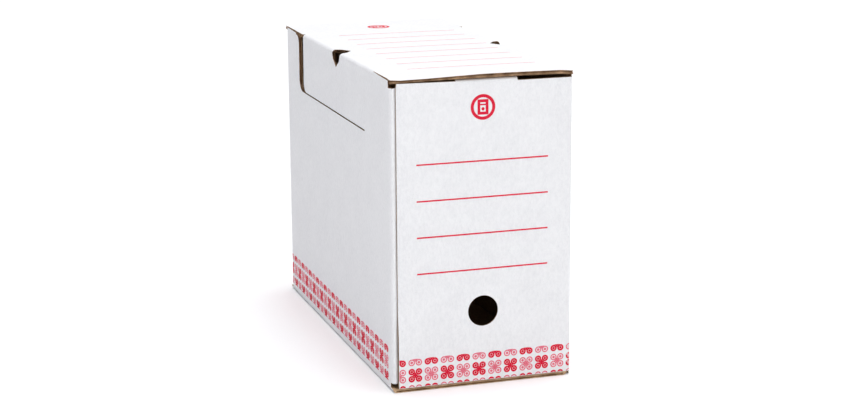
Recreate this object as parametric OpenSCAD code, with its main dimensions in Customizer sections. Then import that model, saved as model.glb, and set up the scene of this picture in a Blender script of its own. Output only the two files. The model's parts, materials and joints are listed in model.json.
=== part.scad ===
// Archival box of white single-wall corrugated board, folded from one die-cut blank.
// The box stands on its bottom panel. The label face is at the front, towards -Y.
// Every panel between two creases is a solid of its own, so that each crease can turn.

/* [Box] */
// Width over the label face
box_w = 150; // [120:1:200]
// Depth from the label face to the rear face
box_d = 330; // [320:1:360]
// Height over the top and bottom panels
box_h = 250; // [240:1:280]
// Thickness of the corrugated board
board = 3; // [2:0.1:3.5]

/* [Lid] */
// Distance of the lid's crease from the front
crease_y = 156; // [150:1:165]
// Depth of the bands that are cut free from the sides, measured from the top
band_h = 51; // [40:1:60]
// Width of the slit under the bands
slit_w = 1.2; // [0.8:0.1:2]
// Distance from the front to where the slit starts
slit_start = 71; // [60:1:80]
// Distance from the front to the rear edge of the lid's wings
wing_end = 266.5; // [255:0.5:270]
// Distance from the front to the front edge of the rear corner posts
post_start = 282; // [278:1:290]
// Distance from the front over which the top panel lies on the side panels
top_rest = 45; // [35:1:55]
// Radius of the pressed score on which the lid turns
score_r = 0.5; // [0.4:0.1:0.8]

/* [Notch at the lid's crease] */
// Half of the notch's length along the fold
notch_half = 12.5; // [8:0.5:14]
// How far the notch reaches into the top panel and down the side
notch_reach = 13; // [8:0.5:15]
// Half of the notch's length where it starts to taper to its point
notch_shoulder = 9.5; // [6:0.5:10]
// Share of the notch's reach at which it starts to taper
notch_taper = 0.55; // [0.4:0.05:0.8]

/* [End closures] */
// Distance of the front panel's free edge from the left corner
free_edge = 5; // [4:0.5:8]
// Length of the inner flap at the left of each end
inner_flap = 43; // [30:1:46]
// Gap above and below the inner flap
flap_relief = 4; // [3:0.5:8]
// Width of the tongue that tucks under the top
tongue_w = 50.6; // [40:0.1:60]
// Length of the tongue
tongue_l = 30; // [20:1:35]
// Sideways offset of the tongue's middle from the middle of the panel
tongue_x = 3.3; // [-5:0.1:5]
// Gap between the shoulders beside the tongue and the top panel
shoulder_gap = 2.8; // [2:0.1:4]

/* [Finger hole] */
// Diameter of the hole in the front panel
hole_d = 25; // [20:1:30]
// Height of its centre above the base
hole_z = 61; // [50:1:80]

/* [Glued joint] */
// Height of the tab that is glued inside the right side
tab_h = 32; // [25:1:40]
// Distance of the tab's ends from the front and the rear
tab_setback = 9; // [8:1:15]
// How far the tab's ends slope in over its height
tab_slope = 11; // [5:1:16]

/* [Hidden] */
$fn = 96;
eps = 1;                                   // overshoot of a cutting solid
fold_gap = 0.08;                           // radial play of a rolled crease in its socket
end_gap = 0.3;                             // play at the two ends of a rolled crease
crease_gap = 0.1;                          // gap between the two panels under the lid's score
lay_gap = 0.15;                            // gap between two boards that slide on each other
corner_r = 8;                              // rounded corners of the wings, posts and tongues
foot_r = 11;                               // rounded foot of the slot in front of each post

half_w = box_w / 2;
front = -box_d / 2;
rear = box_d / 2;
inner_x = half_w - board;                  // inner face of a side, where its folds turn
roof = box_h - board;                      // underside of the top
crease = front + crease_y;
slit_top = box_h - band_h;
slit_bottom = slit_top - slit_w;
band_start = front + slit_start + end_gap;
wing_rear = front + wing_end;
post_front = front + post_start;
score_z = box_h - score_r;                 // axis on which the lid turns
score_half = half_w - notch_reach - end_gap;
score_groove = 1.4 * score_r;              // width that the top gives up above the score
strip_end = crease - score_r - crease_gap; // clear of the wing when the lid stands open
flap_fold_y = -front - 2 * board - lay_gap;   // fold of the inner flaps, from the middle
flap_low = board + flap_relief;
flap_high = roof - flap_relief;
end_fold_y = -front - board;                  // fold of the front and rear panels
end_low = board + lay_gap;
end_high = roof - shoulder_gap;
end_reach = box_w - board - free_edge;
tongue_fold_z = roof - board - lay_gap;

white = [0.94, 0.94, 0.95];
shade = [0.86, 0.87, 0.9];
kraft = [0.72, 0.56, 0.4];

// ---- Board lying or standing, from a flat outline ----

// Outline in X and Y, lying with its underside at z.
module lying(z) translate([0, 0, z]) linear_extrude(board) children();

// Outline in Y and Z, standing along the depth with its low face at x.
module standing(x) translate([x, 0, 0]) rotate([90, 0, 90]) linear_extrude(board) children();

// Outline in two axes from corner a to corner b.
module rect(a, b) translate(a) square(b - a);

// ---- Creases ----

// Section of a flap that turns on its inner corner: the fold's axis is the origin, the flap
// runs along +X with its outer face at +Y, and its rolled edge is the half circle behind.
module flap_section(reach) {
    square([reach, board]);
    intersection() {
        circle(board);
        translate([-board, -board]) square([board, 2 * board]);
    }
}

// Flap with its fold along +Z. The children are what the die cuts away, drawn flat with
// the reach along X and the fold along Y.
module flap(reach, length) difference() {
    linear_extrude(length) flap_section(reach);
    translate([0, board + eps, 0]) rotate([90, 0, 0]) linear_extrude(2 * (board + eps)) children();
}

// Socket in the neighbouring panel for a rolled edge along +Z.
module socket(length) translate([0, 0, -end_gap]) cylinder(r = board + fold_gap, h = length + 2 * end_gap);

// A corner of a flat outline taken off, to leave a round one: the corner is at the
// origin and the board lies in the quarter given by the two signs.
module corner_off(r, sx, sy) scale([sx, sy]) difference() {
    translate([-eps, -eps]) square(r + eps);
    translate([r, r]) circle(r);
}

// Notch across a fold that runs along Y. X is the distance from the fold's outer edge.
module notch(y) polygon([
    [-eps, y - notch_half], [notch_reach * notch_taper, y - notch_shoulder], [notch_reach, y],
    [notch_reach * notch_taper, y + notch_shoulder], [-eps, y + notch_half]
]);

// ---- Sides ----

// Outline of a fixed side panel in Y and Z. It is low where the bands are cut free, and
// ends in a post at the rear.
module side_outline(low, front_edge, rear_edge) difference() {
    union() {
        rect([front_edge, low], [rear_edge, slit_bottom]);
        rect([front_edge, low], [front + slit_start, roof]);
        rect([post_front, low], [rear_edge, roof - lay_gap]);
        difference() {
            rect([post_front - foot_r, slit_bottom], [post_front, slit_bottom + foot_r]);
            translate([post_front - foot_r, slit_bottom + foot_r]) circle(foot_r);
        }
    }
    translate([post_front, roof - lay_gap]) corner_off(corner_r, 1, -1);
}

module left_side_panel() color(shade) difference() {
    standing(-half_w) side_outline(board, -flap_fold_y, flap_fold_y);
    for (y = [-flap_fold_y, flap_fold_y])
        translate([-inner_x, y, flap_low]) socket(flap_high - flap_low);
}

// The right side hides the glued tab, so its lower edge is a raw one that stands on the floor.
module right_side_panel() color(shade) difference() {
    standing(inner_x) {
        side_outline(0, -end_fold_y, end_fold_y);
        rect([front, 0], [rear, board]);
    }
    for (y = [-end_fold_y, end_fold_y])
        translate([inner_x, y, end_low]) socket(end_high - end_low);
}

// ---- Bottom ----

// Section of the bottom in X and Z, with both of its fold corners.
module bottom_section() intersection() {
    rect([-half_w, 0], [inner_x, board]);
    union() {
        rect([-inner_x, 0], [inner_x - board, board]);
        translate([-inner_x, board]) circle(board);
        translate([inner_x - board, board]) circle(board);
    }
}

module bottom_panel() color(white)
    translate([0, rear, 0]) rotate([90, 0, 0]) linear_extrude(box_d) bottom_section();

module glue_tab() color(kraft) standing(inner_x - board) polygon([
    [front + tab_setback, board], [rear - tab_setback, board],
    [rear - tab_setback - tab_slope, board + tab_h], [front + tab_setback + tab_slope, board + tab_h]
]);

// ---- Top ----

// Sockets along both side folds of the top, from y_low to y_high.
module fold_sockets(y_low, y_high)
    for (x = [-inner_x, inner_x])
        translate([x, y_high, roof]) rotate([90, 0, 0]) socket(y_high - y_low);

// Rolled score across the top, on which the lid turns.
module score(r, half_length)
    translate([-half_length, crease, score_z]) rotate([0, 90, 0]) cylinder(r = r, h = 2 * half_length);

module both_notches() for (s = [-1, 1]) scale([s, 1]) translate([-half_w, 0]) notch(crease);

// Section of the top in X and Z where it folds down into the fixed part of the sides.
module folded_section() intersection() {
    rect([-half_w, roof], [half_w, box_h]);
    union() {
        rect([-inner_x, roof], [inner_x, box_h]);
        for (x = [-inner_x, inner_x]) translate([x, roof]) circle(board);
    }
}

module top_front_panel() color(white) difference() {
    union() {
        lying(roof) difference() {
            union() {
                rect([-half_w, front], [half_w, front + top_rest]);
                rect([-inner_x, front], [inner_x, crease - crease_gap / 2]);
            }
            both_notches();
        }
        translate([0, front + slit_start, 0]) rotate([90, 0, 0])
            linear_extrude(slit_start - top_rest) folded_section();
    }
    fold_sockets(band_start, crease - notch_shoulder);
    score(score_r + fold_gap, half_w);
    translate([-half_w, crease - score_groove, score_z]) cube([box_w, score_groove, score_r + eps]);
}

module lid_panel() color(white) {
    difference() {
        lying(roof) difference() {
            union() {
                rect([-inner_x, crease + crease_gap / 2], [inner_x, rear]);
                rect([-half_w, wing_rear + end_gap], [half_w, rear]);
            }
            both_notches();
        }
        fold_sockets(crease + notch_shoulder, wing_rear);
    }
    score(score_r, score_half);
}

// ---- Bands that hang from the top's side folds ----

band_reach = roof - slit_top;

// Band on the left side from y_low to y_high. The children are cut away from it.
module band(y_low, y_high) translate([-inner_x, y_low, roof]) rotate([90, 90, 180])
    flap(band_reach, y_high - y_low) children();

// The notch, flat on a band whose fold starts at y_low.
module band_notch(y_low) translate([-board, 0]) notch(crease - y_low);

module left_front_strip() color(shade)
    band(band_start, strip_end) band_notch(band_start);

module left_lid_wing() color(shade)
    band(crease + crease_gap, wing_rear) {
        band_notch(crease + crease_gap);
        translate([band_reach, wing_rear - crease - crease_gap]) corner_off(corner_r, -1, -1);
    }

module right_front_strip() mirror([1, 0, 0]) left_front_strip();

module right_lid_wing() mirror([1, 0, 0]) left_lid_wing();

// ---- Ends ----

// Panel that closes an end, as it stands at the front. Its fold is at the right.
module end_panel() difference() {
    translate([inner_x, -end_fold_y, end_low]) rotate([0, 0, 180]) flap(end_reach, end_high - end_low);
    translate([tongue_x - tongue_w / 2, -end_fold_y, tongue_fold_z]) rotate([0, 90, 0]) socket(tongue_w);
}

// Tongue on the upper edge of an end panel, tucked under the top.
module end_tongue() translate([tongue_x - tongue_w / 2, -end_fold_y, tongue_fold_z]) rotate([90, 0, 90])
    flap(tongue_l, tongue_w) {
        translate([tongue_l, 0]) corner_off(corner_r, -1, 1);
        translate([tongue_l, tongue_w]) corner_off(corner_r, -1, -1);
    }

// Inner flap of the left side, folded across the end behind its panel.
module end_flap() translate([-inner_x, -flap_fold_y, flap_high]) rotate([180, 0, 0])
    flap(inner_flap, flap_high - flap_low) {
        translate([inner_flap, 0]) corner_off(corner_r, -1, 1);
        translate([inner_flap, flap_high - flap_low]) corner_off(corner_r, -1, -1);
    }

module front_panel() color(white) difference() {
    end_panel();
    translate([0, front - eps, hole_z]) rotate([-90, 0, 0]) cylinder(d = hole_d, h = board + 2 * eps);
}

module front_tongue() color(white) end_tongue();

module left_front_flap() color(kraft) end_flap();

module rear_panel() color(white) mirror([0, 1, 0]) end_panel();

module rear_tongue() color(white) mirror([0, 1, 0]) end_tongue();

module left_rear_flap() color(kraft) mirror([0, 1, 0]) end_flap();

bottom_panel();
glue_tab();
left_side_panel();
right_side_panel();
top_front_panel();
lid_panel();
left_lid_wing();
right_lid_wing();
left_front_strip();
right_front_strip();
front_panel();
front_tongue();
left_front_flap();
rear_panel();
rear_tongue();
left_rear_flap();
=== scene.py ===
"""Archival box of white-faced corrugated board: its looks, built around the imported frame.

Lengths are in millimetres and become metres when a mesh is made; the camera and the light
are in metres. Every panel is real single-wall board: a white-topped outer liner, a fluted
medium and a kraft inner liner.
"""

import json
import math

import bmesh
import bpy
import numpy as np
from mathutils import Matrix, Vector


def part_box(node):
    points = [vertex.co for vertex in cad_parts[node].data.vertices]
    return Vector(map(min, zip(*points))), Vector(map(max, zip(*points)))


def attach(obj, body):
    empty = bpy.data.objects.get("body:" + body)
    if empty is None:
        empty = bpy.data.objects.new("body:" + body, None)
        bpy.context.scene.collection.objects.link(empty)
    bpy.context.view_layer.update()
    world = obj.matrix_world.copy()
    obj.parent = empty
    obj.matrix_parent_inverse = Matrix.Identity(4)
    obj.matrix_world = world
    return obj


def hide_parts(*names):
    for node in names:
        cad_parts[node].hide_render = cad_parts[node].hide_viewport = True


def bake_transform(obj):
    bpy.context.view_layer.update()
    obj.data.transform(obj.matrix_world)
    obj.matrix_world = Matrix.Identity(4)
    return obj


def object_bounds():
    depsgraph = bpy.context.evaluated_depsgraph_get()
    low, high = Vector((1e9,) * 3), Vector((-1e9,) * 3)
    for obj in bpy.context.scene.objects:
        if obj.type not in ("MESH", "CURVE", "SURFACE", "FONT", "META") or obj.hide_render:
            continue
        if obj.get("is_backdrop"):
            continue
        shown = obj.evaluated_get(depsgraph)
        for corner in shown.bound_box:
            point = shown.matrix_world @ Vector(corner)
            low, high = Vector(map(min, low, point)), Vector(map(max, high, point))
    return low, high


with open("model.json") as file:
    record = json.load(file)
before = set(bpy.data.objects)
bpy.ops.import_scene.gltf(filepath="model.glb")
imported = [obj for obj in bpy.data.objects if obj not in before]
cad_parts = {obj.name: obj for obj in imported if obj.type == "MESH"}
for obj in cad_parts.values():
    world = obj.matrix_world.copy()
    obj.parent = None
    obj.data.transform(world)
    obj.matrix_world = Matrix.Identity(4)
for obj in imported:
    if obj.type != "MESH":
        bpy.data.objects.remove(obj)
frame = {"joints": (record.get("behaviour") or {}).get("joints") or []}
cad_low, cad_high = (list(corner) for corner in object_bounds())

# ---- Places that come from the frame ----

MM = 1000                         # millimetres in a metre


def corners(node):
    """Lowest and highest corner of a CAD node."""
    return [[round(v * MM, 3) for v in corner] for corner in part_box(node)]


def fold(joint):
    """A point on the axis of a joint."""
    found = next(j for j in frame["joints"] if j["name"] == joint)
    return [round(v * MM, 3) for v in found["pos_m"]]


half_w, rear, height = (round(v * MM, 2) for v in cad_high)
front = -rear
board = corners("bottom_panel")[1][2]
inner_x = half_w - board
roof = height - board
crease = fold("lid_crease")[1]
flap_fold = -fold("front_flap_fold")[1]
end_fold = -fold("front_panel_fold")[1]
tongue_fold = fold("front_tongue_fold")[2]
wing_low, wing_high = corners("left_lid_wing")
end_low, end_high = corners("front_panel")
tongue_low, tongue_high = corners("front_tongue")
flap_low, flap_high = corners("left_front_flap")
tab_low, tab_high = corners("glue_tab")

# ---- Places of the cuts: part.scad's, or within a millimetre of them ----

slit_w = 1.25
slit_top = wing_low[2]
slit_low = slit_top - slit_w
slit_start = front + 71           # front end of the slit, where a strip joins the top's side
top_rest = front + 45             # in front of this the top lies on the sides
post_front = front + 282          # front edge of the post behind the slot
post_r = 8                        # rounding of the post's upper corner
slot_r = 11                       # rounding at the foot of the slot
post_gap = 0.15                   # between the post and the lid
wing_rear = wing_high[1]
end_left = end_high[0] - 145      # free edge of both end panels
corner_r = 8                      # rounding of wings, tongues and flaps
tongue_length = 30
tab_h, tab_slope = 32, 11         # the glue tab's height, and how far its ends slope in
hole_z, hole_r = 61.0, 12.5       # the finger hole

notch_fold = 11.5                 # half the notch's length at the top's side folds
notch_shoulder = 9.5              # half its length where it tapers
notch_side = 10.0                 # how far it runs down a side
notch_top = 13.0                  # how far it runs into the top
shoulder = 7.15                   # from the side's face to where it tapers
neck = 1.5                        # half of the lid's scored zone, which bends

# ---- Board ----

liner = 0.35                      # thickness of each liner
medium = 0.26                     # thickness of the fluted paper
flute = 6.5                       # pitch of the flutes
washboard = 0.03                  # how far the liner sinks between the flutes
quarter = board * math.pi / 2     # length of the outer face round a square fold
lap = quarter * 1.08              # how far a rolled edge runs on, into its neighbour
socket = board + 0.1              # room that a panel leaves for its neighbour's roll
hair = 0.02                       # gap between two liners that meet in one plane
tuck = liner + 0.05               # how far the top's edge is tucked behind a side's lip
crushed = 1.3                     # how far the flutes stand back from the slit's edge
hollow = 3.2                      # how far they stand back from a notch's edge

# Lengths of a mesh's cells along the flutes: of a liner, of a medium and of a piece that bends
liner_row, medium_row, bending_row = 22, 60, 7

# Plane of each panel: the axis across the flutes, the axis along them, the axis through
# the board, where its inner face is, and which way its outer face looks.
LEFT = (1, 2, 0, -inner_x, -1)
RIGHT = (1, 2, 0, inner_x, 1)
TOP = (1, 0, 2, roof, 1)
BOTTOM = (1, 0, 2, board, -1)
FRONT = (0, 2, 1, -end_fold, -1)
REAR = (0, 2, 1, end_fold, 1)
FRONT_FLAP = (0, 2, 1, -flap_fold, -1)
REAR_FLAP = (0, 2, 1, flap_fold, 1)
TONGUE = (0, 1, 2, tongue_fold, 1)
TAB = (1, 2, 0, inner_x - board, 1)

# ---- The box's own unevenness ----

side_bow, side_ripple, end_bow = 0.55, 0.25, 0.45
top_arch, front_arch, rear_arch, arch_reach = 0.3, 0.75, 0.35, 34
right_curl, left_curl = 0.7, 0.2
edge_crush = 0.34                 # share of the board's thickness, along the top's front edge
edge_pinch = 0.55                 # the same, along the label face's left edge
flap_swell = 1.6                  # how far the front flap's fold stands out


def bulge(u):
    """1 in the middle, 0 at -1 and 1."""
    return np.clip(1 - u * u, 0, 1)


def near(v, at, width):
    """1 at a place, fading out over a width."""
    return np.exp(-(((v - at) / width) ** 2))


def warp(p):
    """Moves points at rest by one smooth field, the same for every panel."""
    x, y, z = p[:, 0], p[:, 1], p[:, 2]
    u, v, w = x / half_w, y / rear, 2 * z / height - 1
    out = p.copy()

    # Sides and ends bow outwards
    ripple = np.sin(0.021 * y + 0.6) * np.sin(0.017 * z + 0.4)
    out[:, 0] += u**3 * bulge(v) * bulge(w) * (side_bow + side_ripple * ripple)
    out[:, 1] += v**5 * bulge(u) * bulge(w) * end_bow

    # The top arches at its ends, and its front corners curl down
    top = z > roof - 0.1
    rise = top_arch * bulge(v)
    rise = rise + front_arch * near(y, front, arch_reach) + rear_arch * near(y, rear, arch_reach)
    out[:, 2] += np.where(top, bulge(u) * rise, 0)
    curl = near(x, half_w, 6) * near(y, front, 5) * right_curl
    curl = curl + near(x, -half_w, 9) * near(y, front, 8) * left_curl
    out[:, 2] -= np.where(top, curl, 0)

    # The left half of the top's front edge is crushed
    crush = edge_crush * near(y, front, 9) * np.clip((-x - 8) / 26, 0, 1) * (1 - near(x, -half_w, 5))
    out[:, 2] -= np.where(top, (z - roof) * crush, 0)

    # The label face's left edge is pinched above the printed band
    inside = (z > board + 3) & (z < roof - 3)
    pinch = edge_pinch * near(x, end_left, 3) * np.clip((z - 44) / 22, 0, 1)
    out[:, 1] -= np.where(inside & (y < -end_fold + 0.05), (y + end_fold) * pinch, 0)

    # The front flap's fold swells forwards, in front of the left side
    swell = (y > -end_fold + 0.05) & (y < -flap_fold + 0.6) & (x < -inner_x + 1.5) & inside
    fade = np.clip((0.6 - flap_fold - y) / 0.6, 0, 1)
    out[:, 1] -= np.where(swell, flap_swell * bulge((x + inner_x + 0.6) / 2.6) * fade, 0)
    return out


def put(plane, s, t, n, folds):
    """Points of a flat outline, n from the board's inner face, rolled where they pass a fold.

    A fold is which of s (0) and t (1) it crosses, where, and which way it rolls.
    """
    s_axis, t_axis, n_axis, base, side = plane
    along = [s.astype(float), t.astype(float)]
    depth = n.astype(float)
    for which, at, way in folds:
        past = (along[which] - at) * way
        turn = np.maximum(past, 0) / board
        rolled = past > 1e-6
        along[which] = np.where(rolled, at + way * n * np.sin(turn), along[which])
        depth = np.where(rolled, n * np.cos(turn), depth)
    p = np.zeros((len(s), 3))
    p[:, s_axis], p[:, t_axis] = along
    p[:, n_axis] = base + side * depth
    return warp(p)


# ---- Flat outlines ----


def box_loop(s0, t0, s1, t1):
    return [(s0, t0), (s1, t0), (s1, t1), (s0, t1)]


def arc(cs, ct, r, a0, a1, steps=7):
    turns = [math.radians(a0 + (a1 - a0) * i / steps) for i in range(steps + 1)]
    return [(cs + r * math.cos(a), ct + r * math.sin(a)) for a in turns]


def circle(cs, ct, r, steps):
    return arc(cs, ct, r, 0, 360, steps)[:-1]


def rounded(s0, t0, s1, t1, r, corners_to_round):
    """Rectangle with some of its corners rounded: names are made of s or S and t or T."""
    out = []
    for name, cs, ct, a in (
        ("st", s0 + r, t0 + r, 180), ("St", s1 - r, t0 + r, 270),
        ("ST", s1 - r, t1 - r, 0), ("sT", s0 + r, t1 - r, 90),
    ):
        if name in corners_to_round:
            out += arc(cs, ct, r, a, a + 90)
        else:
            out.append((s0 if name[0] == "s" else s1, t0 if name[1] == "t" else t1))
    return out


def without_repeats(loop):
    """An outline without the points that repeat the one before."""
    return [p for i, p in enumerate(loop) if i == 0 or p != loop[i - 1]]


def clipped(poly, level, keep_above):
    """The part of a convex polygon above or below a level of t."""
    out = []
    for i, a in enumerate(poly):
        b = poly[(i + 1) % len(poly)]
        da, db = a[1] - level, b[1] - level
        if not keep_above:
            da, db = -da, -db
        if da >= 0:
            out.append(a)
        if da * db < 0:
            k = da / (da - db)
            out.append((a[0] + (b[0] - a[0]) * k, level))
    return out


# ---- Meshes ----

close = 1e-4                      # places nearer than this are one
least_step = 0.09                 # least distance from a grid line to an outline's own line
fold_lines = 8                    # grid lines in each quarter of a roll


class Corners:
    """Flat points, each kept once, that the cells of a mesh share."""

    def __init__(self):
        self.index, self.flat = {}, []

    def number(self, p):
        key = (round(p[0], 3), round(p[1], 3))
        if key not in self.index:
            self.index[key] = len(self.flat)
            self.flat.append(key)
        return self.index[key]

    def loop(self, poly):
        """The numbers of a polygon's corners, each once."""
        return list(dict.fromkeys(self.number(p) for p in poly))


def merged(fixed, steps):
    """The fixed lines, and the steps between them that don't come too near one."""
    fixed = sorted(set(round(v, 4) for v in fixed))
    out = list(fixed)
    for v in steps:
        if fixed[0] < v < fixed[-1] and min(abs(v - f) for f in fixed) > least_step:
            out.append(round(v, 4))
    return sorted(out)


def spread(values, step):
    """Multiples of a step, as far as the values reach."""
    return list(np.arange(math.floor(min(values) / step), math.ceil(max(values) / step) + 1) * step)


def spans(edges, a, b):
    """Where an outline is solid between the lines s = a and s = b: pairs of its t at a and at b."""
    found = []
    for p, q in edges:
        if p[0] <= a + close and q[0] >= b - close and q[0] - p[0] > close:
            slope = (q[1] - p[1]) / (q[0] - p[0])
            found.append((p[1] + slope * (a - p[0]), p[1] + slope * (b - p[0])))
    found.sort(key=sum)
    return zip(found[::2], found[1::2])


def cells(loops, ds, dt, folds=()):
    """Cuts a flat outline with holes into small cells, on lines across and along the flutes."""
    edges, s_fixed, t_fixed = [], [], []
    for loop in loops:
        for i, v in enumerate(loop):
            before, after = loop[i - 1], loop[(i + 1) % len(loop)]
            edges.append((v, after) if v[0] < after[0] else (after, v))
            s_fixed.append(v[0])
            if (before[0] - v[0]) * (after[0] - v[0]) >= -1e-9:
                t_fixed.append(v[1])
    t_all = [v[1] for loop in loops for v in loop]
    steps = (spread(s_fixed, ds), spread(t_all, dt))
    for which, at, way in folds:
        steps[which].extend(at + way * quarter * k / fold_lines for k in range(2 * fold_lines + 2))
    s_lines = merged(s_fixed, steps[0])
    t_lines = merged(t_fixed + [min(t_all), max(t_all)], steps[1])

    shared, polys = Corners(), []
    for a, b in zip(s_lines, s_lines[1:]):
        if b - a < close:
            continue
        for (a0, b0), (a1, b1) in spans(edges, a, b):
            strip = [(a, a0), (b, b0), (b, b1), (a, a1)]
            cuts = [t for t in t_lines if min(a0, b0) + close < t < max(a1, b1) - close]
            for t0, t1 in zip([None] + cuts, cuts + [None]):
                poly = strip
                if t0 is not None:
                    poly = clipped(poly, t0, True)
                if t1 is not None:
                    poly = clipped(poly, t1, False)
                loop = shared.loop(poly)
                if len(loop) > 2:
                    polys.append(loop)
    return np.array(shared.flat), polys


def depths(depth, s):
    """Depths of a slab's points: depth is a number, or a function of the place across the flutes."""
    return depth(s) if callable(depth) else np.full(len(s), float(depth))


class Piece:
    """A mesh that is built up from closed slabs of board, paper or ink."""

    def __init__(self):
        self.points, self.faces, self.kinds, self.count = [], [], [], 0

    def add(self, face, kind):
        self.faces.append(face)
        self.kinds.append(kind)

    def slab(self, plane, flat, polys, low, high, folds=(), kinds=(0, 1, 1)):
        """Adds a slab. kinds are the numbers of its outer side's, inner side's and rim's materials."""
        outer_kind, inner_kind, rim_kind = kinds
        s, t = flat[:, 0], flat[:, 1]
        self.points += [put(plane, s, t, depths(low, s), folds), put(plane, s, t, depths(high, s), folds)]
        base, m = self.count, len(s)
        self.count += 2 * m
        used = {}
        for loop in polys:
            self.add([base + m + k for k in loop], outer_kind)
            self.add([base + k for k in reversed(loop)], inner_kind)
            for i, a in enumerate(loop):
                used[a, loop[(i + 1) % len(loop)]] = True      # the edges, in their order
        for a, b in used:
            if (b, a) not in used:
                self.add([base + a, base + b, base + m + b, base + m + a], rim_kind)

    def sheet(self, plane, loops, low, high, ds, dt, folds=(), kinds=(0, 1, 1)):
        """Adds a slab with these outlines, cut into cells."""
        self.slab(plane, *cells(loops, ds, dt, folds), low, high, folds, kinds)

    def finish(self, name, materials, slot, body=None, replaces=(), blend=None):
        """Makes the mesh and lets it ride a body; with a blend, it only keeps its place at rest."""
        mesh = bpy.data.meshes.new(name)
        mesh.from_pydata((np.concatenate(self.points) / MM).tolist(), [], self.faces)
        for m in materials:
            mesh.materials.append(m)
        mesh.polygons.foreach_set("material_index", np.array(self.kinds, dtype=np.int32))
        bm = bmesh.new()
        bm.from_mesh(mesh)
        bmesh.ops.recalc_face_normals(bm, faces=bm.faces)
        bm.to_mesh(mesh)
        bm.free()
        mesh.polygons.foreach_set("use_smooth", np.ones(len(mesh.polygons), dtype=bool))
        mesh.set_sharp_from_angle(angle=math.radians(32))
        mesh.update()
        made = bpy.data.objects.new(name, mesh)
        bpy.context.scene.collection.objects.link(made)
        if blend:
            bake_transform(made)
        else:
            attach(made, body)
        if replaces:
            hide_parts(*replaces)


def metres(*point):
    return tuple(v / MM for v in point)


# Depths of the papers in the board


def outer_top(s):
    return board - washboard * (1 - np.cos(2 * math.pi * s / flute)) / 2


def outer_under(s):
    return outer_top(s) - liner


def wave(s):
    return board / 2 - (board / 2 - liner - medium / 2) * np.cos(2 * math.pi * s / flute + math.pi)


def medium_low(s):
    return wave(s) - medium / 2


def medium_high(s):
    return wave(s) + medium / 2


# ---- Materials ----


def material(name, roughness, specular):
    """A new material, its node tree and its shader."""
    made = bpy.data.materials.new(name)
    made.use_nodes = True
    shader = made.node_tree.nodes["Principled BSDF"]
    shader.inputs["Roughness"].default_value = roughness
    shader.inputs["Specular IOR Level"].default_value = specular
    return made, made.node_tree, shader


def noise(tree, scale, detail=3.0, stretch=(1, 1, 1), rough=0.55):
    place = tree.nodes.new("ShaderNodeTexCoord")
    mapping = tree.nodes.new("ShaderNodeMapping")
    mapping.inputs["Scale"].default_value = stretch
    tree.links.new(place.outputs["Object"], mapping.inputs["Vector"])
    made = tree.nodes.new("ShaderNodeTexNoise")
    made.inputs["Scale"].default_value = scale
    made.inputs["Detail"].default_value = detail
    made.inputs["Roughness"].default_value = rough
    tree.links.new(mapping.outputs["Vector"], made.inputs["Vector"])
    return made.outputs["Fac"]


def ramp(tree, source, low, high):
    """Colours between two stops, each a place and a colour."""
    made = tree.nodes.new("ShaderNodeValToRGB")
    for mark, (place, colour) in zip(made.color_ramp.elements, (low, high)):
        mark.position = place
        mark.color = (*colour, 1)
    tree.links.new(source, made.inputs["Fac"])
    return made.outputs["Color"]


def multiplied(tree, a, b):
    made = tree.nodes.new("ShaderNodeMix")
    made.data_type = "RGBA"
    made.blend_type = "MULTIPLY"
    made.inputs["Factor"].default_value = 1.0
    tree.links.new(a, made.inputs["A"])
    tree.links.new(b, made.inputs["B"])
    return made.outputs["Result"]


def bump(tree, shader, source, strength, distance):
    made = tree.nodes.new("ShaderNodeBump")
    made.inputs["Strength"].default_value = strength
    made.inputs["Distance"].default_value = distance
    tree.links.new(source, made.inputs["Height"])
    tree.links.new(made.outputs["Normal"], shader.inputs["Normal"])


def paper_white(name, stretch):
    """White-topped liner: faint cloudiness, long fibres along the flutes and a few specks."""
    made, tree, shader = material(name, 0.62, 0.28)
    cloud = ramp(tree, noise(tree, 45, 5), (0.30, (0.855, 0.857, 0.873)), (0.70, (0.884, 0.886, 0.900)))
    fibre = ramp(tree, noise(tree, 560, 5, stretch, 0.75), (0.28, (0.895, 0.897, 0.905)), (0.62, (1, 1, 1)))
    speck = ramp(tree, noise(tree, 1300, 1), (0.20, (0.80, 0.78, 0.75)), (0.27, (1, 1, 1)))
    colour = multiplied(tree, multiplied(tree, cloud, fibre), speck)
    tree.links.new(colour, shader.inputs["Base Color"])
    bump(tree, shader, noise(tree, 900, 4, stretch, 0.7), 0.25, 0.00006)
    return made


def paper_kraft(name, stretch, dark, light, cloud_scale=55):
    """Unbleached paper: streaky fibres, darker shives and a dry surface."""
    made, tree, shader = material(name, 0.85, 0.12)
    cloud = ramp(tree, noise(tree, cloud_scale, 5), (0.3, dark), (0.7, light))
    fibre = noise(tree, 700, 5, stretch, 0.75)
    fibre = ramp(tree, fibre, (0.28, (0.72, 0.68, 0.62)), (0.62, (1.06, 1.05, 1.03)))
    shive = ramp(tree, noise(tree, 520, 2, stretch), (0.24, (0.50, 0.42, 0.33)), (0.31, (1, 1, 1)))
    colour = multiplied(tree, multiplied(tree, cloud, fibre), shive)
    tree.links.new(colour, shader.inputs["Base Color"])
    bump(tree, shader, noise(tree, 1100, 5, stretch, 0.8), 0.5, 0.0001)
    return made


def ink(name, deep, thin):
    """Flexo ink on clay coat: even, with a slight mottle where the paper shows through."""
    made, tree, shader = material(name, 0.55, 0.16)
    mottle = ramp(tree, noise(tree, 1500, 3), (0.25, thin), (0.55, deep))
    tree.links.new(mottle, shader.inputs["Base Color"])
    bump(tree, shader, noise(tree, 900, 3), 0.15, 0.00005)
    return made


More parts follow.
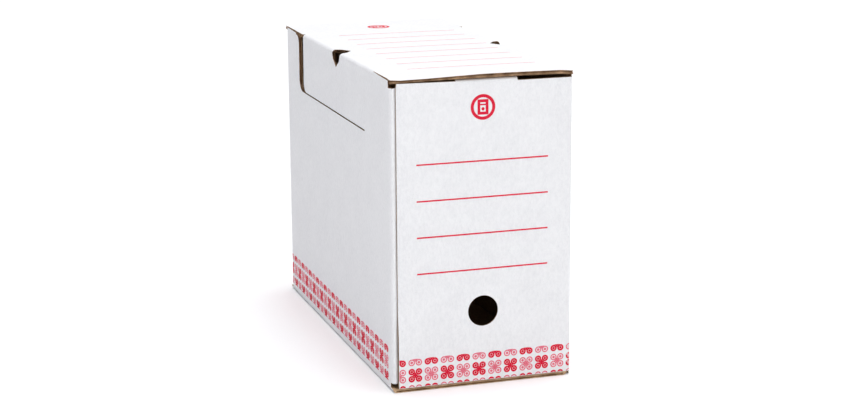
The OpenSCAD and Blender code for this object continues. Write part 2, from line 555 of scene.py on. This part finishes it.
# The papers' fibres lie along the flutes. Each kind of paper is made once for each axis.
FIBRES = {2: ("upright", (1, 1, 0.5)), 0: ("across", (0.5, 1, 1)), 1: ("deep", (1, 0.5, 1))}
kraft_dark, kraft_light = (0.375, 0.24, 0.138), (0.43, 0.278, 0.162)
white = {axis: paper_white("white_liner_" + word, stretch) for axis, (word, stretch) in FIBRES.items()}
kraft = {axis: paper_kraft("kraft_" + word, stretch, kraft_dark, kraft_light)
         for axis, (word, stretch) in FIBRES.items()}
raw_edge = paper_kraft("kraft_raw_edge", (1, 1, 1), (0.16, 0.09, 0.045), (0.56, 0.37, 0.23), 150)
# The bottom's raw edge and medium get a lighter copy of the raw-edge kraft: painted bounce light from the
# pale floor.
bounce_lit_base_edge = paper_kraft("kraft_base_edge", (1, 1, 1), (0.38, 0.245, 0.14), (0.73, 0.525, 0.34), 150)
INKS = {
    "red": ink("ink_red", (0.69, 0.008, 0.036), (0.73, 0.026, 0.064)),
    "pink": ink("ink_red_thin", (0.76, 0.15, 0.21), (0.82, 0.27, 0.33)),
}

# ---- Panels ----

roll_low, roll_high = 0.06, board - liner - 0.03    # depths of the filling of a rolled fold


def panel(name, body, plane, face_loops, core_loops, folds=(), rolls=(), face_strips=(), blend=None,
          slot="board_white", cut=raw_edge, step=flute / 4):
    """One panel: its white liner, and its medium with the kraft inner liner.

    rolls are (outline, folds) pairs past a fold, which a solid roll fills.
    face_strips are further (outline, folds) pairs of the white liner.
    cut is the paper of the medium and of the raw edges. step is the liner's cells' width.
    """
    along = plane[1]
    row, inner_row, inner_step = liner_row, medium_row, flute * 2
    if blend:
        row, inner_row, inner_step = bending_row, bending_row, flute / 4

    face = Piece()
    face.sheet(plane, face_loops, outer_under, outer_top, step, row, folds)
    for strip, strip_folds in face_strips:
        face.sheet(plane, [strip], outer_under, outer_top, step, liner_row, strip_folds)
    face.finish(name + "_face", [white[along], cut], slot, body, [name], blend)

    core = Piece()
    core.sheet(plane, core_loops, medium_low, medium_high, flute / 8, inner_row, kinds=(1, 1, 1))
    core.sheet(plane, core_loops, 0.0, liner, inner_step, row, kinds=(0, 0, 1))
    for strip, strip_folds in rolls:
        core.sheet(plane, [strip], roll_low, roll_high, inner_step, liner_row, strip_folds, (0, 0, 1))
    core.finish(name + "_core", [kraft[along], cut], "board_kraft", body, (), blend)


def side_loop(front_edge, rear_edge, low, back=0.0):
    """Outline of a fixed side, with the post and the foot of its slot at the rear.

    back is how far it stands back from the slit: the flutes are crushed there.
    """
    top, slit_bottom = roof - post_gap, slit_low - back
    return [
        (front_edge, low),
        (rear_edge, low),
        (rear_edge, top),
        (post_front + post_r, top),
        *arc(post_front + post_r, top - post_r, post_r, 90, 180)[1:],
        *arc(post_front - slot_r, slit_bottom + slot_r, slot_r, 0, -90),
        (slit_start, slit_bottom),
        (slit_start, roof - hair),
        (front_edge, roof - hair),
    ]


# The sides' liner stands up beside the raw edges of the top, and falls off unevenly
lip_start = post_front + 10
front_bend, rear_bend = -136, 140
LIPS = [
    ([(-flap_fold, roof - hair), (top_rest - hair, roof - hair), (top_rest - hair, height - 0.1),
      (front_bend, height - 0.9), (-flap_fold, height - 1.3)], ()),
    ([(lip_start, roof - post_gap), (flap_fold, roof - post_gap), (flap_fold, height - 0.9),
      (rear_bend, height - 1.4), (lip_start, height - 1.9)], ()),
]


def build_sides():
    for name, plane, edge, low in (("left", LEFT, flap_fold, board + hair), ("right", RIGHT, end_fold, 0)):
        reach = edge - socket
        face = side_loop(-edge, edge, low)
        core = side_loop(-reach, reach, low, crushed)
        panel(name + "_side_panel", "box", plane, [face], [core], face_strips=LIPS)


def build_bottom():
    left, right = -inner_x, inner_x - board
    left_fold, right_fold = (1, left, -1), (1, right, 1)
    face = box_loop(front, left - quarter, rear, right + quarter)
    core = box_loop(front, left, rear, right)
    rolls = [(box_loop(front, left - quarter, rear, left), [left_fold]),
             (box_loop(front, right, rear, right + quarter), [right_fold])]
    # Its medium and raw edges take the lighter kraft, which is painted bounce light from the floor.
    panel("bottom_panel", "box", BOTTOM, [face], [core], [left_fold, right_fold], rolls, cut=bounce_lit_base_edge)


def build_tab():
    start, end = tab_low[1], tab_high[1]
    low, high = board + hair, board + tab_h
    tab = [(start, low), (end, low), (end - tab_slope, high), (start + tab_slope, high)]
    panel("glue_tab", "box", TAB, [tab], [tab], slot="board_kraft")


# Half width of the top where the notch leaves the lid's scored zone
neck_side = neck / notch_shoulder * (shoulder - board) + half_w - notch_top


def top_loop(way, folded, back=0.0):
    """Outline of the fixed top (way -1) or of the lid (way 1), from the crease to its far end.

    folded is its half width where bands hang from it. back is how far it stands back from
    the notch: the flutes are crushed there.
    """
    side_fold = way * flap_fold
    right = [
        (crease + way * neck, neck_side - back),
        (crease + way * (notch_shoulder + back), half_w - shoulder - back),
        (crease + way * (notch_fold + back), folded),
    ]
    if way < 0:
        right += [(slit_start, folded), (slit_start, inner_x), (top_rest, inner_x), (top_rest, half_w - tuck)]
    else:
        wing_end = wing_rear + 0.3
        right += [(wing_end, folded), (wing_end, half_w), (lip_start, half_w), (lip_start, half_w - tuck)]
    right += [(side_fold, half_w - tuck), (side_fold, half_w), (way * rear, half_w)]
    right = without_repeats(right)
    return right + [(s, -t) for s, t in reversed(right)]


def build_top():
    rolls = []
    for way in (-1, 1):
        low, high = sorted((way * inner_x, way * (inner_x + quarter)))
        rolls.append((box_loop(top_rest, low, slit_start, high), [(1, way * inner_x, way)]))
    panel("top_front_panel", "box", TOP, [top_loop(-1, inner_x)],
          [top_loop(-1, inner_x - socket, hollow)], (), rolls, rolls)
    panel("lid_panel", "lid", TOP, [top_loop(1, inner_x)], [top_loop(1, inner_x - socket, hollow)])


def build_crease():
    """The scored zone between the fixed top and the lid, which bends on the real box as the lid opens; here
    it is built at rest.
    """
    core_low, core_high = 1.3, board - liner - 0.02
    from_place, to_place = metres(0, crease - neck, roof), metres(0, crease + neck, roof)
    for part, low, high, papers, slot, back in (
        ("face", outer_under, outer_top, [white[TOP[1]], raw_edge], "board_white", 0),
        ("core", core_low, core_high, [kraft[TOP[1]]] * 2, "board_kraft", hollow + 1),
    ):
        tip, side = half_w - notch_top - back, neck_side - back
        right = [(crease - neck, side), (crease, tip), (crease + neck, side)]
        zone = [(s, -t) for s, t in right] + list(reversed(right))
        web = Piece()
        web.sheet(TOP, [zone], low, high, 0.25, liner_row)
        web.finish("lid_crease_" + part, papers, slot, blend=("box", "lid", from_place, to_place))


def band_loop(near_end, far_end, top, round_far, back=0.0):
    """Outline of a hanging band: its near end is at the crease, where the notch is."""
    way = 1 if far_end > near_end else -1
    low = slit_top + min(back, crushed)
    out = [
        (near_end, roof - notch_side - back),
        (crease + way * (notch_shoulder + back), roof - (shoulder - board) - back),
        (crease + way * (notch_fold + back), roof),
        (crease + way * (notch_fold + back), top),
        (far_end, top),
    ]
    out += arc(far_end - corner_r, low + corner_r, corner_r, 0, -90) if round_far else [(far_end, low)]
    return without_repeats(out + [(near_end, low)])


def build_bands():
    """On each side the lid's wing, and the strip of the fixed top, which twists on the real box; here it is
    built at rest.
    """
    folds = [(1, roof, 1)]
    roll_top = roof + 2 * quarter
    face_gap, core_gap = hair, 0.4
    for name, plane in (("left", LEFT), ("right", RIGHT)):
        face = band_loop(crease + face_gap, wing_rear, roof + lap, True)
        core = band_loop(crease + core_gap, wing_rear, roof, True, hollow)
        roll = box_loop(crease + notch_fold + hollow, roof, wing_rear, roll_top)
        panel(name + "_lid_wing", name + "_wing", plane, [face], [core], folds, [(roll, folds)])

        strip_end = slit_start + hair
        face = band_loop(crease - face_gap, strip_end, roof + lap, False)
        core = band_loop(crease - core_gap, strip_end, roof, False, hollow)
        roll = box_loop(strip_end, roof, crease - notch_fold - hollow, roll_top)
        from_place = metres(plane[3], slit_start + 1, roof)
        to_place = metres(plane[3], crease - 16, roof)
        panel(name + "_front_strip", None, plane, [face], [core], folds, [(roll, folds)],
              blend=("box", name + "_strip", from_place, to_place))


def build_end(name, plane, way):
    """An end panel. The front one has the finger hole, and stands higher left of its tongue."""
    low, high = end_low[2], end_high[2]
    t0, t1 = tongue_low[0], tongue_high[0]
    lift_left, lift_tongue = (2.4, 2.4 * 0.7) if way < 0 else (0, 0)
    ragged = 0.9                  # how far the hole's cut flutes stand back

    def end_loop(right):
        return [(end_left, low), (right, low), (right, high), (t1, high), (t1, tongue_fold),
                (t0, tongue_fold), (t0, high + lift_tongue), (end_left, high + lift_left)]

    face, core = [end_loop(inner_x + lap)], [end_loop(inner_x)]
    if way < 0:
        face.append(circle(0, hole_z, hole_r, 48))
        core.append(circle(0, hole_z, hole_r + ragged, 32))
    folds = [(0, inner_x, 1)]
    roll = box_loop(inner_x, low, inner_x + 2 * quarter, high)
    panel(name + "_panel", name, plane, face, core, folds, [(roll, folds)], step=flute / 8)


def build_tongue(name, way):
    """An end's tongue. Its liner runs on round the fold, which shows when the tongue is down."""
    t0, t1 = tongue_low[0], tongue_high[0]
    base = way * end_fold
    tip, wrap, roll_end = base - way * tongue_length, base + way * quarter * 1.75, base + way * 2 * quarter
    rounds = "sT ST" if way < 0 else "st St"
    folds = [(1, base, way)]
    face = rounded(t0, min(tip, wrap), t1, max(tip, wrap), corner_r, rounds)
    core = rounded(t0, min(tip, base), t1, max(tip, base), corner_r, rounds)
    roll = box_loop(t0, min(base, roll_end), t1, max(base, roll_end))
    panel(name + "_tongue", name + "_tongue", TONGUE, [face], [core], folds, [(roll, folds)])


def build_flap(name, plane):
    """A flap of the left side. Its liner runs on round the fold, which shows when the flap is in."""
    low, high, tip = flap_low[2], flap_high[2], flap_high[0]
    folds = [(0, -inner_x, -1)]
    face = rounded(-inner_x - quarter * 1.95, low, tip, high, corner_r, "St ST")
    core = rounded(-inner_x, low, tip, high, corner_r, "St ST")
    roll = box_loop(-inner_x - 2 * quarter, low, -inner_x, high)
    panel(f"left_{name}_flap", name + "_flap", plane, [face], [core], folds, [(roll, folds)])


build_sides()
build_bottom()
build_tab()
build_top()
build_crease()
build_bands()
for end_name, end_plane, end_flap_plane, end_way in (
    ("front", FRONT, FRONT_FLAP, -1), ("rear", REAR, REAR_FLAP, 1),
):
    build_end(end_name, end_plane, end_way)
    build_tongue(end_name, end_way)
    build_flap(end_name, end_flap_plane)

# ---- Print ----

proud = 0.045                     # how far the ink stands above the liner
sunk = 0.1                        # how far it goes into the liner
end_pitch, side_pitch = 13.34, 13.3      # between motifs
row_pitch = 13.5                  # between rows of motifs


def ink_top(s):
    return outer_top(s) + proud


def ink_under(s):
    return outer_top(s) - sunk


class Print:
    """Ink on one plane, in two tones."""

    def __init__(self, plane, folds=()):
        self.plane, self.folds = plane, folds
        self.tones = {tone: Piece() for tone in INKS}

    def shape(self, flat, polys, tone="red"):
        flat = np.array(flat, float)
        self.tones[tone].slab(self.plane, flat, polys, ink_under, ink_top, self.folds, (0, 0, 0))

    def line(self, s0, t0, s1, t1):
        """A ruled line, cut into short lengths so that it follows the board."""
        length = max(s1 - s0, t1 - t0)
        steps = max(2, int(length / (flute / 4)))
        flat = []
        for i in range(steps + 1):
            k = i / steps
            if s1 - s0 > t1 - t0:
                flat += [(s0 + (s1 - s0) * k, t0), (s0 + (s1 - s0) * k, t1)]
            else:
                flat += [(s0, t0 + (t1 - t0) * k), (s1, t0 + (t1 - t0) * k)]
        self.shape(flat, [[2 * i, 2 * i + 2, 2 * i + 3, 2 * i + 1] for i in range(steps)])

    def patches(self, polys, tone="red", window=None):
        """Convex patches of ink, cut off outside the window (s0, t0, s1, t1)."""
        shared, loops = Corners(), []
        for poly in polys:
            if window:
                s0, t0, s1, t1 = window
                poly = clipped(clipped(poly, t0, True), t1, False)
                turned = [(t, s) for s, t in poly]
                turned = clipped(clipped(turned, s0, True), s1, False)
                poly = [(s, t) for t, s in turned]
            loop = shared.loop(poly)
            if len(loop) > 2:
                loops.append(loop)
        if loops:
            self.shape(shared.flat, loops, tone)

    def ring(self, s, t, outer, inner, steps=40, tone="red", window=None):
        turns = [2 * math.pi * (i + 0.5) / steps for i in range(steps + 1)]
        polys = []
        for a, b in zip(turns, turns[1:]):
            polys.append([(s + r * math.cos(c), t + r * math.sin(c))
                          for r, c in ((inner, a), (outer, a), (outer, b), (inner, b))])
        self.patches(polys, tone, window)

    def mark(self, s, t, sign_t=1):
        """A plain ring round a little upright file box, with its finger hole.

        sign_t is -1 on a plane whose axes would show the box in a mirror.
        """
        self.ring(s, t, 10.1, 7.6)
        w, h, bar = 4.5, 6.0, 2.3
        label_low, label_high = 1.3, 2.5
        for x0, y0, x1, y1 in (
            (-w, -h, w, -h + bar), (-w, h - bar, w, h), (-w, -h + bar, -w + bar, h - bar),
            (w - bar, -h + bar, w, h - bar), (-w + bar, label_low, w - bar, label_high),
        ):
            low, high = sorted((sign_t * y0, sign_t * y1))
            self.patches([box_loop(s + x0, t + low, s + x1, t + high)])
        self.patches([circle(s, t - sign_t * 1.5, 1.35, 12)])

    def motif(self, s, t, tone, window):
        """Four ringed lobes round a star, as far as they lie in the window."""
        stroke, dot = (1.45, 1.12) if tone == "red" else (1.0, 1.2)
        lobe, off, star, waist, reach = 2.75, 2.95, 2.5, 0.95, 5.8
        s0, t0, s1, t1 = window
        if t - reach > t1 or t + reach < t0 or s - reach > s1 or s + reach < s0:
            return
        for i in (-1, 1):
            for j in (-1, 1):
                self.ring(s + i * off, t + j * off, lobe, lobe - stroke, 16, tone, window)
                self.patches([circle(s + i * off, t + j * off, dot, 9)], tone, window)
        for i, j in ((1, 0), (0, 1), (-1, 0), (0, -1)):
            self.patches([[(s, t), (s + waist * (i + j), t + waist * (j - i)), (s + i * star, t + j * star),
                           (s + waist * (i - j), t + waist * (j + i))]], tone, window)

    def band(self, first, pitch, numbers, centre, dark_first, window):
        """Three rows of motifs: a hanging half row, a full row, and a row cut off below."""
        for k in numbers:
            s = first + pitch * k
            dark = (k % 2 == 0) == dark_first
            tone, other = ("red", "pink") if dark else ("pink", "red")
            self.motif(s, centre + row_pitch, other, window)
            self.motif(s, centre, tone, window)
            self.motif(s, centre - row_pitch, other, window)

    def finish(self, name, body):
        for tone, piece in self.tones.items():
            if piece.faces:
                piece.finish(f"{name}_{tone}", [INKS[tone]], "print_red", body)


def print_ends():
    folds = [(0, inner_x, 1)]
    window = (end_left + 0.3, end_low[2] + 0.3, inner_x + quarter * 0.8, 26.6)
    for name, plane in (("front", FRONT), ("rear", REAR)):
        sheet = Print(plane, folds)
        if name == "front":
            for z in (182.4, 153.4, 124.4, 95.3):
                sheet.line(-54.5, z - 0.6, 54.4, z + 0.6)
            sheet.mark(0, 224.8)
        sheet.band(-56.6, end_pitch, range(-1, 11), 13.1, True, window)
        sheet.finish(name + "_print", name)


def print_sides():
    window = (-flap_fold, 7.0, flap_fold, 35.5)
    for name, plane in (("left", LEFT), ("right", RIGHT)):
        sheet = Print(plane)
        sheet.band(front + 17.8, side_pitch, range(24), 22.0, False, window)
        sheet.finish(name + "_print", "box")


def print_top():
    """Eight fine rules across the top and the lid, and the lid's mark, which reads from the right."""
    top, lid = Print(TOP), Print(TOP)
    rules, first, pitch, half_line = 8, 45, 28.8, 0.33
    for k in range(rules):
        s = front + first + pitch * k
        sheet = top if s < crease else lid
        sheet.line(s - half_line, -47, s + half_line, 60)
    lid.mark(front + 290, 2, -1)
    top.finish("top_print", "box")
    lid.finish("lid_print", "lid")


print_ends()
print_sides()
print_top()

# ---- Camera ----

azimuth, elevation, tilt = math.radians(-17.944), math.radians(13.055), math.radians(-0.356)
focal_px, image_w = 1905.85, 860
offset = Vector((-0.00948, 0.013861, -1.650509))      # of the box's middle, as the camera sees it, in m


def camera():
    level = math.cos(elevation)
    back = Vector((math.sin(azimuth) * level, -math.cos(azimuth) * level, math.sin(elevation)))
    x = Vector((0, 0, 1)).cross(back).normalized()
    y = back.cross(x)
    right = x * math.cos(tilt) + y * math.sin(tilt)
    up = y * math.cos(tilt) - x * math.sin(tilt)
    turn = Matrix((right, up, back)).transposed()
    data = bpy.data.cameras.new("camera")
    data.sensor_width = 36
    data.lens = focal_px * data.sensor_width / image_w
    data.clip_start, data.clip_end = 0.05, 60
    made = bpy.data.objects.new("camera", data)
    bpy.context.scene.collection.objects.link(made)
    centre = Vector(metres(0, 0, height / 2))
    made.matrix_world = Matrix.Translation(centre - turn @ offset) @ turn.to_4x4()
    bpy.context.scene.camera = made


camera()

# ---- Floor and light, in metres ----

floor_size, floor_cells, floor_drop = 30.0, 24, 0.0001
SHADE_SKY, OPEN_SKY = (0.035, 0.035, 0.06), (0.485, 0.485, 0.485)
sky_from, sky_to = -0.7, 0.45     # between these it brightens, from left to right


def stage():
    steps = range(floor_cells + 1)
    grid = [((i / floor_cells - 0.5) * floor_size, (j / floor_cells - 0.5) * floor_size, -floor_drop)
            for i in steps for j in steps]
    row = floor_cells + 1
    faces = [[i * row + j, (i + 1) * row + j, (i + 1) * row + j + 1, i * row + j + 1]
             for i in range(floor_cells) for j in range(floor_cells)]
    mesh = bpy.data.meshes.new("floor")
    mesh.from_pydata(grid, [], faces)
    made, tree, shader = material("floor", 0.8, 0.1)
    tone = ramp(tree, noise(tree, 1.5, 2), (0.3, (0.93, 0.93, 0.935)), (0.7, (0.95, 0.95, 0.95)))
    tree.links.new(tone, shader.inputs["Base Color"])
    mesh.materials.append(made)
    floor = bpy.data.objects.new("floor", mesh)
    bpy.context.scene.collection.objects.link(floor)
    floor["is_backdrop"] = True


def key_light(place, target, size, power):
    data = bpy.data.lights.new("key", "AREA")
    data.shape = "DISK"
    data.size, data.energy = size, power
    made = bpy.data.objects.new("key", data)
    made.location = place
    made.rotation_euler = (Vector(target) - Vector(place)).to_track_quat("-Z", "Y").to_euler()
    bpy.context.scene.collection.objects.link(made)


def overhead(strength):
    """Even, soft light straight down, which keeps the floor and the top pale."""
    data = bpy.data.lights.new("overhead", "SUN")
    data.energy, data.angle = strength, math.radians(70)
    made = bpy.data.objects.new("overhead", data)
    made.location = (0, 0, 3)
    bpy.context.scene.collection.objects.link(made)


def sky():
    """Open sky on the right and shade on the left."""
    world = bpy.data.worlds.new("studio")
    world.use_nodes = True
    tree = world.node_tree
    place = tree.nodes.new("ShaderNodeTexCoord")
    split = tree.nodes.new("ShaderNodeSeparateXYZ")
    tree.links.new(place.outputs["Generated"], split.inputs["Vector"])
    fade = tree.nodes.new("ShaderNodeMapRange")
    fade.inputs["From Min"].default_value, fade.inputs["From Max"].default_value = sky_from, sky_to
    tree.links.new(split.outputs["X"], fade.inputs["Value"])
    tint = ramp(tree, fade.outputs["Result"], (0.0, SHADE_SKY), (1.0, OPEN_SKY))
    tree.links.new(tint, tree.nodes["Background"].inputs["Color"])
    bpy.context.scene.world = world


stage()
sky()
overhead(2.84)
key_light((-0.85, -1.7, 0.9), (0, 0, 0.1), 1.2, 7.2)
bpy.context.scene.view_settings.view_transform = "Standard"
